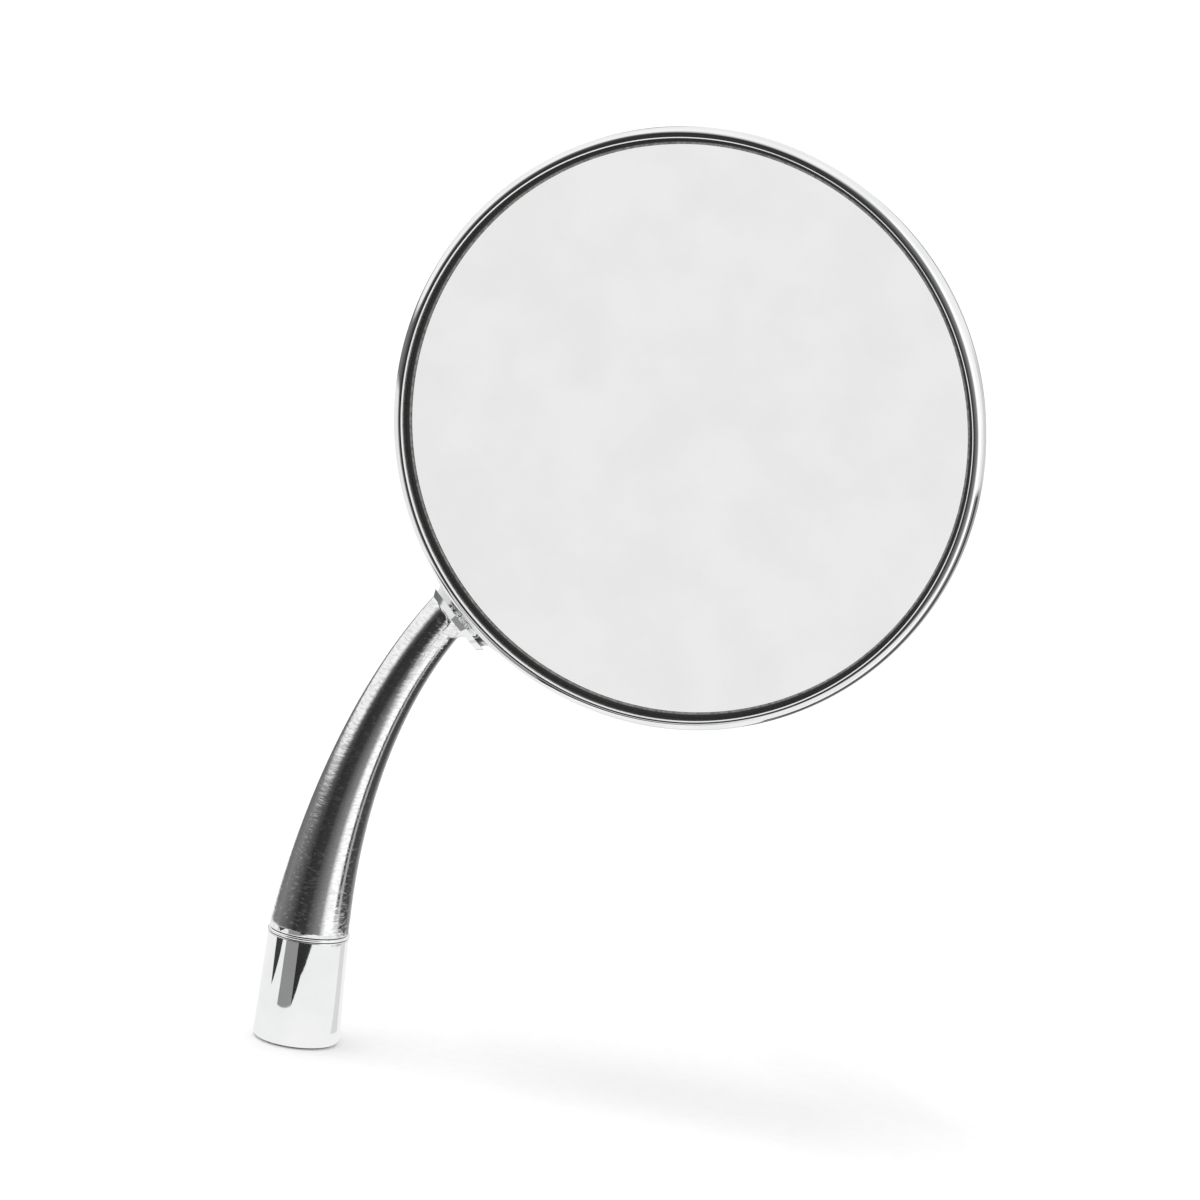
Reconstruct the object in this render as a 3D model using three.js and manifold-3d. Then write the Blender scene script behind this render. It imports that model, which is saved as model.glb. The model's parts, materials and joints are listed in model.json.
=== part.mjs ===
// Round exterior rear-view mirror: a chromed head on a curved tapered arm with a beaded base ferrule.
// Millimetres, +Z up. Origin: centre of the base face. The glass faces -Y, the head stands towards +X.

import * as THREE from 'three';
import { mergeVertices } from 'three/addons/utils/BufferGeometryUtils.js';
import Module from 'manifold-3d';

const wasm = await Module();
wasm.setup();

// ---- driving dimensions ----

const GAP = 0.15; // clearance between pieces that bear on each other

// base
const BASE_R = 7.7; // ferrule at its foot
const FERRULE_TOP_R = 7.2;
const FERRULE_FOOT_Z = 0.25; // the rubber pad stands this far proud of the ferrule
const FERRULE_TOP_Z = 19.45;
const CORE_R = 6.5;
const CORE_FOOT_Z = 1.15;
const CORE_TOP_Z = 19.0;
const STUD_SOCKET_R = 4.0; // for the mounting stud
const STUD_SOCKET_TOP_Z = 9.6;
const ARM_SOCKET_FLOOR_Z = 11.1;
const PAD_BORE_R = 5.2;
const BEAD_Z = 19.85; // mid-height of the bead
const BEAD_HALF = 0.3;
const SHOULDER_Z = 20.25; // underside of the arm

// lock screw
const SCREW_R = 2.0;
const SCREW_Z = 15;
const SCREW_TIP_R = 0.9;
const SCREW_TIP_Y = 3.5;
const SCREW_END_Y = 6.4;
const SOCKET_KEY_R = 1.15;

// arm
const SPIGOT_R = 3.9;
const SPIGOT_END_Z = 11.3;
const GROOVE_R = 3.2;
const GROOVE_HALF = 1.5;
const ARM_FOOT_R = 7.1; // where it leaves the bead
const ARM_THIN_R = 4.0; // where it reaches the head
const ARM_TAPER = 1.8; // how quickly the taper dies away
const ARM_PATH = [[0, 20.25], [1.1, 39.7], [5.9, 63.1], [18.1, 81.0]]; // X and Z of its curve's controls
const FLARE_LENGTH = 2.6;

// head: its own axis is +Z of the head group, radii r about it, heights z from the crest of the rim
const HEAD_CENTRE = [58.1, -10.4, 121.9];
const HEAD_TILT = 1.3; // degrees the face looks up
const CREST_R = 50.7;
const RIM_R = 52.3;
const RIM_WALL = 0.7;
const LIP_R = 50.0;
const RIM_WIDEST_Z = -1.9;
const RIM_BACK_Z = -3.9;
const SHELL_R = 51.3;
const SHELL_WALL = 0.8;
const SHELL_MOUTH_Z = -3.0;
const SHELL_STEP_Z = -5.8; // ledge that the backing plate rests on
const SHELL_DOME_Z = -5.2; // the dome starts here
const SHELL_DEPTH = 23;
const SHELL_SQUARENESS = 2.5; // 2 is an ellipse, more is fuller
const GLASS_R = 49.7;
const GLASS_FRONT_Z = -2.3;
const GLASS_THICK = 2.0;
const GASKET_R = 50.35;
const GASKET_WALL = 0.5;
const GASKET_SIGHT_R = 49.3;
const PLATE_R = 50.2;
const PLATE_THICK = 0.6;
const PAD_R = 48.4;

// joint between arm and head: an axis in a plane through the head's own axis, its outer end leaning forwards
const BOSS_AZIMUTH = 227.5; // degrees about the head's axis
const BOSS_LEAN = 16.3; // degrees
const BOSS_Z = -11.45;
const SEAM_RADIUS = 56.8; // from the head's axis to the middle of the friction washer
const BOSS_R = 6.0;
const BOSS_BORE_R = 4.2;
const BOSS_WALL = 2.0;
const NECK_ROOT_R = 7.3; // where the neck has sunk into the shell
const NECK_ROOT_RADIUS = 44.5; // from the head's axis to the middle of that
const NECK_ROOT_Z = -12.3;
const WASHER_THICK = 0.3;
const TENON_R = 2.0; // threaded end of the arm
const TENON_HOLE_R = 2.2;

const RINGS = 48; // facets round the head
const ROUND = 28; // facets round the small pieces
const ARM_SIDES = 24;

// ---- helpers ----

const radians = THREE.MathUtils.degToRad;

// A closed copy of a geometry: shared corners merged, slivers dropped, faces turned outwards.
function closed(source) {
  const plain = source.clone();
  plain.deleteAttribute('normal');
  plain.deleteAttribute('uv');
  const merged = mergeVertices(plain, 1e-4);
  const at = merged.getAttribute('position');
  const corner = (i) => new THREE.Vector3().fromBufferAttribute(at, i);
  const kept = [];
  let volume = 0;
  for (let i = 0; i < merged.index.count; i += 3) {
    const [a, b, c] = [0, 1, 2].map((k) => merged.index.getX(i + k));
    if (a === b || b === c || c === a) continue;
    kept.push(a, b, c);
    volume += corner(a).dot(corner(b).cross(corner(c)));
  }
  if (volume < 0) kept.reverse();
  merged.setIndex(kept);
  return merged;
}

function toSolid(geometry) {
  const shape = closed(geometry);
  return new wasm.Manifold(new wasm.Mesh({
    numProp: 3,
    vertProperties: new Float32Array(shape.getAttribute('position').array),
    triVerts: new Uint32Array(shape.index.array),
  }));
}

function toGeometry(solid) {
  const mesh = solid.getMesh();
  const shape = new THREE.BufferGeometry();
  shape.setAttribute('position', new THREE.BufferAttribute(new Float32Array(mesh.vertProperties), 3));
  shape.setIndex(new THREE.BufferAttribute(new Uint32Array(mesh.triVerts), 1));
  return shape;
}

// A profile of [radius, height] points turned about +Z.
function turned(profile, facets = ROUND) {
  const points = profile.map(([r, z]) => new THREE.Vector2(r, z));
  return new THREE.LatheGeometry(points, facets).rotateX(Math.PI / 2);
}

// A tube or washer about +Z.
function washer(innerR, outerR, low, high, facets = ROUND) {
  return turned(
    [[innerR, low], [outerR, low], [outerR, high], [innerR, high], [innerR, low]],
    facets,
  );
}

// A rod about +Z, its ends on the axis.
function rod(radius, low, high, facets = ROUND) {
  return turned([[0, low], [radius, low], [radius, high], [0, high]], facets);
}

// Points of an arc in a profile, from one angle to another in degrees.
function arc(r, z, radius, from, to, steps) {
  return Array.from({ length: steps + 1 }, (_, i) => {
    const angle = radians(from + ((to - from) * i) / steps);
    return [r + radius * Math.cos(angle), z + radius * Math.sin(angle)];
  });
}

// A tube through rings of {centre, axis, radius}, closed at both ends.
function throughRings(rings, sides) {
  const rows = rings.length - 1;
  const shape = new THREE.CylinderGeometry(1, 1, 1, sides, rows);
  const at = shape.getAttribute('position');
  const side = new THREE.Vector3();
  const across = new THREE.Vector3();
  for (let i = 0; i < at.count; i++) {
    const ring = rings[Math.round((at.getY(i) + 0.5) * rows)];
    side.set(0, 1, 0).addScaledVector(ring.axis, -ring.axis.y).normalize();
    across.crossVectors(side, ring.axis);
    const place = ring.centre.clone();
    place.addScaledVector(side, ring.radius * at.getX(i));
    place.addScaledVector(across, ring.radius * at.getZ(i));
    at.setXYZ(i, place.x, place.y, place.z);
  }
  return shape;
}

function finish(colour, roughness, metalness) {
  return () => new THREE.MeshStandardMaterial({ color: colour, roughness, metalness });
}

const chrome = finish(0xe8eaec, 0.06, 1);
const steel = finish(0x9b9ea3, 0.35, 1);
const springSteel = finish(0x5d5f63, 0.4, 1);
const rubber = finish(0x1b1b1c, 0.75, 0);
const nylon = finish(0xe6e4dc, 0.5, 0);
const foam = finish(0x55565a, 0.95, 0);
const silver = finish(0xdfe2e4, 0.02, 1);

function piece(name, geometry, material) {
  const mesh = new THREE.Mesh(closed(geometry), material());
  mesh.name = name;
  return mesh;
}

const mirror = new THREE.Group();
const head = new THREE.Group();
head.position.set(...HEAD_CENTRE);
head.rotation.x = radians(90 - HEAD_TILT);
head.updateMatrix();
mirror.add(head);

// The joint's frame inside the head: origin at the middle of the seam, +Z along the tenon towards the arm.
const joint = new THREE.Group();
const azimuth = radians(BOSS_AZIMUTH);
const radial = new THREE.Vector3(Math.cos(azimuth), Math.sin(azimuth), 0);
const facing = new THREE.Vector3(0, 0, 1);
const lean = radians(BOSS_LEAN);
const outward = radial.clone().multiplyScalar(Math.cos(lean)).addScaledVector(facing, Math.sin(lean));
const forward = facing.clone().multiplyScalar(Math.cos(lean)).addScaledVector(radial, -Math.sin(lean));
joint.position.copy(radial).multiplyScalar(SEAM_RADIUS);
joint.position.z = BOSS_Z;
joint.quaternion.setFromRotationMatrix(
  new THREE.Matrix4().makeBasis(forward, outward.clone().cross(forward), outward),
);
joint.updateMatrix();
head.add(joint);

// ---- base ----

function basePad() {
  return washer(PAD_BORE_R, CORE_R - GAP, 0, CORE_FOOT_Z - GAP);
}

// A hole along +Y at the lock screw's height.
function screwHole(radius, from, to) {
  return toSolid(rod(radius, from, to, 24).rotateX(-Math.PI / 2).translate(0, 0, SCREW_Z));
}

function baseCore() {
  const body = toSolid(rod(CORE_R, CORE_FOOT_Z, CORE_TOP_Z));
  const studSocket = toSolid(rod(STUD_SOCKET_R, CORE_FOOT_Z - 1, STUD_SOCKET_TOP_Z));
  const armSocket = toSolid(rod(SPIGOT_R + GAP, ARM_SOCKET_FLOOR_Z, CORE_TOP_Z + 1));
  const cross = screwHole(SCREW_R + GAP, 0, CORE_R + 1);
  return toGeometry(body.subtract(studSocket).subtract(armSocket).subtract(cross));
}

function baseSleeve() {
  const bore = CORE_R + GAP;
  const edge = 1; // rounding of the lower edge
  const body = toSolid(turned([
    [bore, FERRULE_FOOT_Z],
    ...arc(BASE_R - edge, FERRULE_FOOT_Z + edge, edge, -90, 0, 4),
    [FERRULE_TOP_R, FERRULE_TOP_Z],
    [bore, FERRULE_TOP_Z],
    [bore, FERRULE_FOOT_Z],
  ], 36));
  return toGeometry(body.subtract(screwHole(SCREW_R + 2 * GAP, 0, BASE_R + 1)));
}

function beadRing() {
  const bore = CORE_R - 0.4;
  return turned([
    [bore, BEAD_Z - BEAD_HALF],
    ...arc(FERRULE_TOP_R - BEAD_HALF + 0.1, BEAD_Z, BEAD_HALF, -90, 90, 6),
    [bore, BEAD_Z + BEAD_HALF],
    [bore, BEAD_Z - BEAD_HALF],
  ], 36);
}

function swivelWasher() {
  return washer(SPIGOT_R + GAP, CORE_R - 0.55, CORE_TOP_Z + GAP, SHOULDER_Z - GAP);
}

function lockScrew() {
  const tip = SCREW_R - SCREW_TIP_R;
  const body = toSolid(turned([
    [0, SCREW_TIP_Y],
    [SCREW_TIP_R, SCREW_TIP_Y],
    [SCREW_R, SCREW_TIP_Y + tip],
    [SCREW_R, SCREW_END_Y - 0.2],
    [SCREW_R - 0.2, SCREW_END_Y],
    [0, SCREW_END_Y],
  ], 24));
  const key = toSolid(rod(SOCKET_KEY_R, SCREW_END_Y - 1.4, SCREW_END_Y + 1, 6));
  const standing = toGeometry(body.subtract(key));
  return standing.rotateX(-Math.PI / 2).translate(0, 0, SCREW_Z);
}

mirror.add(
  piece('base_pad', basePad(), rubber),
  piece('base_core', baseCore(), steel),
  piece('base_sleeve', baseSleeve(), chrome),
  piece('bead_ring', beadRing(), chrome),
  piece('swivel_washer', swivelWasher(), nylon),
  piece('lock_screw', lockScrew(), steel),
);

// ---- arm ----

// The joint's frame in the part's own frame.
const jointPlace = head.matrix.clone().multiply(joint.matrix);
const seamCentre = new THREE.Vector3().applyMatrix4(jointPlace);
const seamAxis = new THREE.Vector3(0, 0, 1).transformDirection(jointPlace);
const seamLow = WASHER_THICK / 2 + GAP; // arm's flat, from the middle of the seam

function armRings() {
  const path = new THREE.CubicBezierCurve3(...ARM_PATH.map(([x, z]) => new THREE.Vector3(x, 0, z)));
  const length = path.getLength();
  const flareStart = 1 - FLARE_LENGTH / length;
  const rings = [];
  const plainRings = 14;
  for (let i = 0; i <= plainRings; i++) {
    const along = (flareStart * i) / plainRings;
    rings.push({
      centre: path.getPointAt(along),
      axis: i === 0 ? new THREE.Vector3(0, 0, 1) : path.getTangentAt(along),
      radius: ARM_THIN_R + (ARM_FOOT_R - ARM_THIN_R) * (1 - along) ** ARM_TAPER,
    });
  }
  const flareRings = 6;
  const towards = seamAxis.clone().negate();
  const face = seamCentre.clone().addScaledVector(seamAxis, seamLow);
  for (let i = 1; i <= flareRings; i++) {
    const step = i / flareRings;
    const spread = step ** 1.5;
    const centre = path.getPointAt(flareStart + (1 - flareStart) * step);
    const offset = face.clone().sub(path.getPointAt(1));
    rings.push({
      centre: centre.addScaledVector(offset, spread),
      axis: path.getTangentAt(flareStart).lerp(towards, step).normalize(),
      radius: ARM_THIN_R + (BOSS_R - ARM_THIN_R) * spread,
    });
  }
  return rings;
}

function arm() {
  const limb = toSolid(throughRings(armRings(), ARM_SIDES));
  const spigot = toSolid(turned([
    [0, SPIGOT_END_Z],
    [SPIGOT_R - 0.4, SPIGOT_END_Z],
    [SPIGOT_R, SPIGOT_END_Z + 0.4],
    [SPIGOT_R, SCREW_Z - GROOVE_HALF],
    [GROOVE_R, SCREW_Z - GROOVE_HALF + 0.7],
    [GROOVE_R, SCREW_Z + GROOVE_HALF - 0.7],
    [SPIGOT_R, SCREW_Z + GROOVE_HALF],
    [SPIGOT_R, SHOULDER_Z + 2],
    [0, SHOULDER_Z + 2],
  ], 28));
  const tenonEnd = -13.4;
  const tenon = toSolid(turned([
    [0, tenonEnd],
    [TENON_R - 0.3, tenonEnd],
    [TENON_R, tenonEnd + 0.3],
    [TENON_R, 2],
    [0, 2],
  ], 24).applyMatrix4(jointPlace));
  return toGeometry(limb.add(spigot).add(tenon));
}

mirror.add(piece('arm', arm(), chrome));

// ---- joint stack, from the seam inwards ----

const bossFace = -WASHER_THICK / 2 - GAP;
let stackTop = bossFace - BOSS_WALL - GAP;

function discSpring(facingOut) {
  const cone = 0.4;
  const sheet = 0.4;
  const inner = TENON_HOLE_R;
  const outer = BOSS_BORE_R - 0.4;
  const [low, high] = facingOut ? [0, cone] : [cone, 0];
  return turned([
    [inner, high],
    [outer, low],
    [outer, low + sheet],
    [inner, high + sheet],
    [inner, high],
  ]);
}

function jointNut() {
  const height = 4.4;
  const collar = 1.3;
  const across = 7; // spanner size
  const hex = toSolid(new THREE.CylinderGeometry(
    across / Math.sqrt(3), across / Math.sqrt(3), height - collar, 6,
  ).rotateX(Math.PI / 2).translate(0, 0, -(height - collar) / 2));
  const dome = toSolid(rod(across / 2 - 0.4, -height, -1));
  const thread = toSolid(rod(TENON_R + GAP, -height - 1, 1));
  return toGeometry(hex.add(dome).subtract(thread));
}

function stack(name, geometry, height, material) {
  const part = piece(name, geometry, material);
  part.position.z = stackTop - height;
  stackTop -= height + GAP;
  joint.add(part);
}

joint.add(piece(
  'friction_washer',
  washer(TENON_HOLE_R, BOSS_R - 0.05, -WASHER_THICK / 2, WASHER_THICK / 2),
  nylon,
));
stack('thrust_washer', washer(TENON_HOLE_R, BOSS_BORE_R - 0.3, 0, 0.8), 0.8, steel);
for (let i = 1; i <= 4; i++) {
  stack(`disc_spring_${i}`, discSpring(i % 2 === 0), 0.8, springSteel);
}
stack('nut_washer', washer(TENON_HOLE_R, BOSS_BORE_R - 0.5, 0, 0.8), 0.8, steel);
const nut = piece('joint_nut', jointNut(), steel);
nut.position.z = stackTop;
joint.add(nut);

// ---- head ----

// The dome of the back shell, shrunk by a wall thickness, from its edge to the axis.
function dome(wall) {
  const steps = 9;
  return Array.from({ length: steps + 1 }, (_, i) => {
    const angle = (Math.PI / 2) * (i / steps);
    const power = 2 / SHELL_SQUARENESS;
    return [
      (SHELL_R - wall) * Math.cos(angle) ** power,
      SHELL_DOME_Z - (SHELL_DEPTH - wall) * Math.sin(angle) ** power,
    ];
  }).map(([r, z], i) => (i === steps ? [0, z] : [r, z]));
}

// Everything inside the back shell.
function shellInside() {
  const ledge = dome(SHELL_WALL).filter(([, z]) => z < SHELL_STEP_Z - 0.5);
  return [
    [0, SHELL_MOUTH_Z + 1],
    [SHELL_R - SHELL_WALL, SHELL_MOUTH_Z + 1],
    [SHELL_R - SHELL_WALL, SHELL_STEP_Z],
    [PLATE_R - 1, SHELL_STEP_Z],
    ...ledge.map(([r, z]) => [Math.min(r, PLATE_R - 1), z]),
  ];
}

// The neck from the seam's leaning face to its root inside the shell, with a clearance all round.
function neck(clearance) {
  const face = { centre: new THREE.Vector3(0, 0, bossFace).applyMatrix4(joint.matrix), axis: outward };
  const root = { centre: radial.clone().multiplyScalar(NECK_ROOT_RADIUS), axis: radial };
  root.centre.z = NECK_ROOT_Z;
  const rows = 4;
  const rings = Array.from({ length: rows + 1 }, (_, i) => {
    const step = i / rows;
    return {
      centre: root.centre.clone().lerp(face.centre, step),
      axis: root.axis.clone().lerp(face.axis, step ** 2).normalize(),
      radius: NECK_ROOT_R + (BOSS_R - NECK_ROOT_R) * step + clearance,
    };
  });
  return toSolid(throughRings(rings, 36));
}

function backShell() {
  const outside = toSolid(turned([
    [0, SHELL_MOUTH_Z],
    [SHELL_R, SHELL_MOUTH_Z],
    ...dome(0),
  ], RINGS));
  const inside = toSolid(turned(shellInside(), RINGS));
  return toGeometry(outside.subtract(inside).subtract(neck(GAP)));
}

function neckBoss() {
  const bore = toSolid(rod(BOSS_BORE_R, -22, bossFace - BOSS_WALL).applyMatrix4(joint.matrix));
  const hole = toSolid(rod(TENON_HOLE_R, -6, 1, 24).applyMatrix4(joint.matrix));
  const inside = toSolid(turned(shellInside(), RINGS));
  return toGeometry(neck(0).subtract(bore).subtract(hole).subtract(inside));
}

// A strip rolled to a bead: out over the crest, down the skirt, and in again behind the shell's mouth.
function rimRing() {
  const bead = RIM_R - CREST_R;
  const outer = [
    [LIP_R, -1.5],
    [CREST_R - 0.5, -0.25],
    ...arc(CREST_R, -bead, bead, 90, 0, 6),
    [RIM_R, RIM_WIDEST_Z],
    [RIM_R - 0.25, RIM_BACK_Z],
  ];
  const inner = [
    [SHELL_R + GAP, RIM_BACK_Z],
    [SHELL_R + GAP, RIM_WIDEST_Z - 0.3],
    [CREST_R, -RIM_WALL - 0.15],
    [LIP_R, -1.5 - RIM_WALL * 0.55],
    [LIP_R, -1.5],
  ];
  return turned([...outer, ...inner], RINGS);
}

function glassGasket() {
  const front = GLASS_FRONT_Z + GAP;
  const back = GLASS_FRONT_Z - GLASS_THICK - GAP;
  const wall = GASKET_R - GASKET_WALL;
  return turned([
    [GASKET_SIGHT_R, front],
    [wall, front],
    [wall, back],
    [PAD_R + 2 * GAP, back],
    [PAD_R + 2 * GAP, back - 0.4],
    [GASKET_R, back - 0.4],
    [GASKET_R, front - GAP],
    [GASKET_R - 0.9, front + 0.1],
    [GASKET_SIGHT_R, front + 0.1],
    [GASKET_SIGHT_R, front],
  ], RINGS);
}

function mirrorGlass() {
  const back = GLASS_FRONT_Z - GLASS_THICK;
  const edge = 0.3; // ground edge
  return turned([
    [0, back],
    [GLASS_R, back],
    [GLASS_R, GLASS_FRONT_Z - edge],
    [GLASS_R - edge, GLASS_FRONT_Z],
    [0, GLASS_FRONT_Z],
  ], RINGS);
}

const padFront = GLASS_FRONT_Z - GLASS_THICK - GAP;
const plateFront = padFront - 0.4 - GAP;

head.add(
  piece('neck_boss', neckBoss(), chrome),
  piece('back_shell', backShell(), chrome),
  piece('rim_ring', rimRing(), chrome),
  piece('glass_gasket', glassGasket(), rubber),
  piece('mirror_glass', mirrorGlass(), silver),
  piece('backing_pad', rod(PAD_R, padFront - 0.4, padFront, RINGS), foam),
  piece('backing_plate', rod(PLATE_R, plateFront - PLATE_THICK, plateFront, RINGS), steel),
);

export default mirror;
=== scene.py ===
"""Round rear-view mirror on a curved chromed arm: its finished pieces, finishes and studio."""

import json
import math

import bmesh
import bpy
from mathutils import Matrix, Vector


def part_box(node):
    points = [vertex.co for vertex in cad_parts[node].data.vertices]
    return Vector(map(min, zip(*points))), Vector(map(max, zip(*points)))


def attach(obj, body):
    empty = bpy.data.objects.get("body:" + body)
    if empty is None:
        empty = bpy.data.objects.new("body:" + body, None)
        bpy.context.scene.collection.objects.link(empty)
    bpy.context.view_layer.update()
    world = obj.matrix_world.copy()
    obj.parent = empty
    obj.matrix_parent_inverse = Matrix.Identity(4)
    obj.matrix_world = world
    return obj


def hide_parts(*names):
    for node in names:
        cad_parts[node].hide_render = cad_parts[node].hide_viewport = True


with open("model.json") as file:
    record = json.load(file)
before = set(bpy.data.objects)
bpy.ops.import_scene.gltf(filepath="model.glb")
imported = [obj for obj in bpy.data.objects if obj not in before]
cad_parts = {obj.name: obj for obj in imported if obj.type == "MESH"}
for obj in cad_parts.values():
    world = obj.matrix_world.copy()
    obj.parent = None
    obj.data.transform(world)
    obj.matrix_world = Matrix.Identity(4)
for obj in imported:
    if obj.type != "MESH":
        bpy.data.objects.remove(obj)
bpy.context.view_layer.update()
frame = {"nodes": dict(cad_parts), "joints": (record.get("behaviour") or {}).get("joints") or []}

MM = 0.001

# ---- camera: placed first ----

CAMERA_AZIMUTH = math.radians(13.17)
CAMERA_HEIGHT = math.radians(11.32)
CAMERA_ROLL = math.radians(7.42)
CAMERA_DISTANCE = 1.5
AIM = Vector((38.63, 26.03, 82.62)) * MM
LENS = 253.5


def add_camera():
    """A long lens, a little above the mirror and rolled so that the base stands to the left."""
    back = Vector((
        math.sin(CAMERA_AZIMUTH) * math.cos(CAMERA_HEIGHT),
        -math.cos(CAMERA_AZIMUTH) * math.cos(CAMERA_HEIGHT),
        math.sin(CAMERA_HEIGHT),
    ))
    level = Vector((math.cos(CAMERA_AZIMUTH), math.sin(CAMERA_AZIMUTH), 0))
    upright = back.cross(level)
    right = level * math.cos(CAMERA_ROLL) + upright * math.sin(CAMERA_ROLL)
    up = back.cross(right)
    camera = bpy.data.objects.new("camera", bpy.data.cameras.new("camera"))
    bpy.context.scene.collection.objects.link(camera)
    turn = Matrix((right, up, back)).transposed().to_4x4()
    camera.matrix_world = Matrix.Translation(AIM + back * CAMERA_DISTANCE) @ turn
    camera.data.lens = LENS
    camera.data.clip_start = 0.05
    camera.data.clip_end = 50
    bpy.context.scene.camera = camera


add_camera()

# ---- places taken from the frame ----

HEAD_TILT = math.radians(1.3)
GLASS_MIDDLE = 3.3 * MM  # behind the crest of the rim

glass_low, glass_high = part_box("mirror_glass")
head_facing = Vector((0, -math.cos(HEAD_TILT), math.sin(HEAD_TILT)))
head_centre = (Vector(glass_low) + Vector(glass_high)) / 2 + head_facing * GLASS_MIDDLE
HEAD = Matrix.Translation(head_centre) @ Matrix.Rotation(math.radians(90) - HEAD_TILT, 4, "X")

roll_joint = next(j for j in frame["joints"] if j["name"] == "head_roll")
seam_axis = Vector(roll_joint["axis"]).normalized()  # from the head towards the arm
seam_centre = Vector(roll_joint["pos_m"])

# the boss's own frame: x forwards, z along the tenon towards the arm
boss_side = seam_axis.cross(head_facing).normalized()
BOSS = Matrix.Translation(seam_centre) @ Matrix((
    boss_side.cross(seam_axis), boss_side, seam_axis,
)).transposed().to_4x4()

# the head's own frame turned so that x points at the seam's middle, with y across it
seam_turn = math.atan2(*reversed((HEAD.inverted() @ seam_centre).xy))
NECK_TURN = Matrix.Rotation(seam_turn, 3, "Z")

# ---- modelling helpers ----

FACETS = 128


def start_fresh():
    if bpy.context.object and bpy.context.object.mode != "OBJECT":
        bpy.ops.object.mode_set(mode="OBJECT")
    bpy.ops.object.select_all(action="DESELECT")


def take_up(name):
    """Names the new primitive, which is the active object."""
    piece = bpy.context.object
    piece.name = name
    piece.data.name = name
    return piece


def make_active(piece):
    start_fresh()
    piece.select_set(True)
    bpy.context.view_layer.objects.active = piece


def edit(piece):
    make_active(piece)
    bpy.ops.object.mode_set(mode="EDIT")
    bpy.ops.mesh.select_all(action="SELECT")


def select_faces(piece, wanted):
    """Leaves the piece in edit mode with only the wanted faces selected."""
    edit(piece)
    bpy.ops.mesh.select_mode(type="FACE")
    bpy.ops.mesh.select_all(action="DESELECT")
    bpy.ops.object.mode_set(mode="OBJECT")
    for face in piece.data.polygons:
        face.select = wanted(face)
    bpy.ops.object.mode_set(mode="EDIT")


def tidy_mesh(piece, merge=1e-6):
    """Merges doubles and turns the faces outwards."""
    edit(piece)
    bpy.ops.mesh.remove_doubles(threshold=merge)
    bpy.ops.mesh.select_all(action="SELECT")
    bpy.ops.mesh.normals_make_consistent(inside=False)
    bpy.ops.object.mode_set(mode="OBJECT")


def put(piece, place):
    """Moves a piece made about the origin to its place, and keeps that place in its mesh."""
    make_active(piece)
    piece.matrix_world = place
    bpy.ops.object.transform_apply(location=True, rotation=True, scale=True)


def apply_modifier(piece, kind, **settings):
    make_active(piece)
    modifier = piece.modifiers.new(kind.lower(), kind)
    for key, value in settings.items():
        setattr(modifier, key, value)
    bpy.ops.object.modifier_apply(modifier=modifier.name)


def smooth(piece, angle=35):
    make_active(piece)
    bpy.ops.object.shade_smooth_by_angle(angle=math.radians(angle))


def cut(piece, cutter):
    apply_modifier(piece, "BOOLEAN", operation="DIFFERENCE", solver="EXACT", object=cutter)
    bpy.data.objects.remove(cutter, do_unlink=True)


def arc(r, z, radius, start, end, steps):
    """Points of an arc in an outline, in millimetres and degrees."""
    angles = [math.radians(start + (end - start) * i / steps) for i in range(steps + 1)]
    return [(r + radius * math.cos(a), z + radius * math.sin(a)) for a in angles]


def turned(name, outline, place=Matrix(), closed=True, facets=FACETS):
    """Draws an outline of (radius, height) in millimetres edge by edge, then spins it about z."""
    start_fresh()
    points = [Vector((r, 0, z)) * MM for r, z in outline]
    bpy.ops.mesh.primitive_plane_add(size=MM, location=(0, 0, 0))
    piece = take_up(name)
    bpy.ops.object.mode_set(mode="EDIT")
    bpy.ops.mesh.merge(type="CENTER")
    bpy.ops.transform.translate(value=points[0])
    for here, there in zip(points, points[1:]):
        bpy.ops.mesh.extrude_region_move(TRANSFORM_OT_translate={"value": there - here})
    if closed:
        home = points[0] - points[-1]
        bpy.ops.mesh.extrude_region_move(TRANSFORM_OT_translate={"value": home})
    bpy.ops.mesh.select_all(action="SELECT")
    bpy.ops.mesh.remove_doubles(threshold=1e-7)
    bpy.ops.mesh.select_all(action="SELECT")
    bpy.ops.mesh.spin(steps=facets, angle=math.tau, center=(0, 0, 0), axis=(0, 0, 1))
    bpy.ops.object.mode_set(mode="OBJECT")
    tidy_mesh(piece)
    put(piece, place)
    return piece


def round_ring(ring, x, y):
    """A point of a ring of (centre, axis, radius)."""
    centre, axis, radius = ring
    side = Vector((0, 1, 0)) - axis * axis.y
    side.normalize()
    return centre + (side.cross(axis) * x + side * y) * radius


def sweep(name, rings, sides=FACETS):
    """A tube extruded ring by ring, closed at both ends.

    A ring is (centre, axis, radius), or a function that gives the place of each point of a unit circle.
    """
    start_fresh()
    bpy.ops.mesh.primitive_circle_add(vertices=sides, radius=1, fill_type="NGON")
    piece = take_up(name)
    bpy.ops.object.mode_set(mode="EDIT")
    for _ in rings[1:]:
        bpy.ops.mesh.extrude_region_move(TRANSFORM_OT_translate={"value": (0, 0, 1)})
    bpy.ops.object.mode_set(mode="OBJECT")
    mesh = bmesh.new()
    mesh.from_mesh(piece.data)
    for vertex in mesh.verts:
        ring = rings[round(vertex.co.z)]
        x, y = vertex.co.xy
        vertex.co = ring(x, y) if callable(ring) else round_ring(ring, x, y)
    mesh.to_mesh(piece.data)
    mesh.free()
    tidy_mesh(piece, merge=1e-8)
    return piece


# ---- finishes ----

FINE_RELIEF = 0.1 * MM


def new_material(name):
    material = bpy.data.materials.new(name)
    material.use_nodes = True
    nodes = material.node_tree.nodes
    return material, nodes, material.node_tree.links, nodes["Principled BSDF"]


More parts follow.
